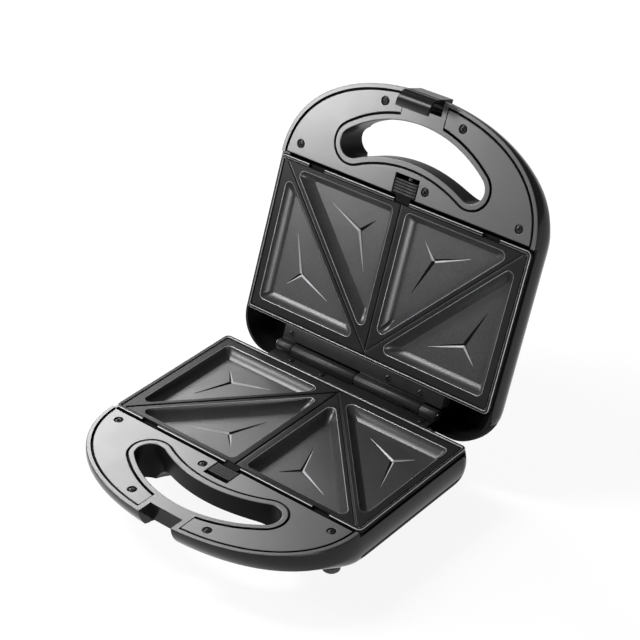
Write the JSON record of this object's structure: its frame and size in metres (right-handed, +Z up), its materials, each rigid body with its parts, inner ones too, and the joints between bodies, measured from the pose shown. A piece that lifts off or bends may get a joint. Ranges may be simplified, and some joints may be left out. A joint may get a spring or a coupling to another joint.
{
  "type": "sandwich toaster",
  "caption": "Clamshell sandwich toaster, lid open: two rounded housings with through handles, ribbed non-stick plates that cut bread into triangles, a wide hinge and a hook latch.",
  "frame": {"origin": "centre of the bounding box on the table plane, with the lid open", "axes": "+Z up; -Y is the front, where the handles are; +X is the right side seen from the front; the hinge runs along X"},
  "size_m": [0.2328, 0.3053, 0.2595],
  "materials": {
    "housing": "gloss black moulded plastic",
    "cover": "satin grey moulded plastic",
    "plate": "cast aluminium with a dark grey speckled non-stick coating",
    "hinge_metal": "matt black steel",
    "bright_steel": "bright steel",
    "reflector": "bright aluminium sheet",
    "black_screw": "blackened steel",
    "latch_plastic": "dark grey satin plastic",
    "button_plastic": "dark grey satin plastic",
    "foot_rubber": "black rubber",
    "bush_rubber": "black rubber",
    "red_lens": "clear red plastic",
    "green_lens": "clear green plastic",
    "lamp": "small glass lamp",
    "ceramic": "white heat-proof plastic"
  },
  "bodies": {
    "base": {"base_housing": "housing", "base_cover": "cover", "base_cover_screws": "black_screw", "base_plate": "plate", "base_element": "bright_steel", "base_element_clips": "bright_steel", "base_tray": "reflector", "base_tray_screws": "bright_steel", "base_thermostat": "bright_steel", "thermal_fuse": "bright_steel", "terminal_block": "ceramic", "base_hinge_leaf": "hinge_metal", "base_hinge_screws": "black_screw", "hinge_pin": "bright_steel", "base_release_spring": "bright_steel", "front_feet": "foot_rubber", "rear_feet": "foot_rubber", "foot_screws": "bright_steel", "cord_bush": "bush_rubber"},
    "lid": {"lid_housing": "housing", "lid_cover": "cover", "lid_cover_screws": "black_screw", "lid_plate": "plate", "lid_element": "bright_steel", "lid_element_clips": "bright_steel", "lid_tray": "reflector", "lid_tray_screws": "bright_steel", "lid_thermostat": "bright_steel", "lid_hinge_leaf": "hinge_metal", "lid_hinge_screws": "black_screw", "lid_release_spring": "bright_steel", "power_lens": "red_lens", "ready_lens": "green_lens", "indicator_lamps": "lamp", "latch_pin": "bright_steel"},
    "latch": {"latch": "latch_plastic"},
    "base_button": {"base_release_button": "button_plastic"},
    "lid_button": {"lid_release_button": "button_plastic"}
  },
  "joints": [
    {"name": "lid_hinge", "type": "hinge", "parent": "base", "child": "lid", "pos_m": [0, 0.06587, 0.05], "axis": [1, 0, 0], "range_deg": [0, 110]},
    {"name": "latch_pivot", "type": "hinge", "parent": "lid", "child": "latch", "pos_m": [0, 0.14589, 0.24648], "axis": [1, 0, 0], "range_deg": [-25, 8]},
    {"name": "base_release", "type": "slide", "parent": "base", "child": "base_button", "axis": [0, -1, 0], "range_m": [0, 0.003], "stiffness_N_per_m": 600, "springref_m": -0.002, "deforming": ["base_release_spring"]},
    {"name": "lid_release", "type": "slide", "parent": "lid", "child": "lid_button", "axis": [0, 0.342, 0.9397], "range_m": [0, 0.003], "stiffness_N_per_m": 600, "springref_m": -0.002, "deforming": ["lid_release_spring"]}
  ]
}
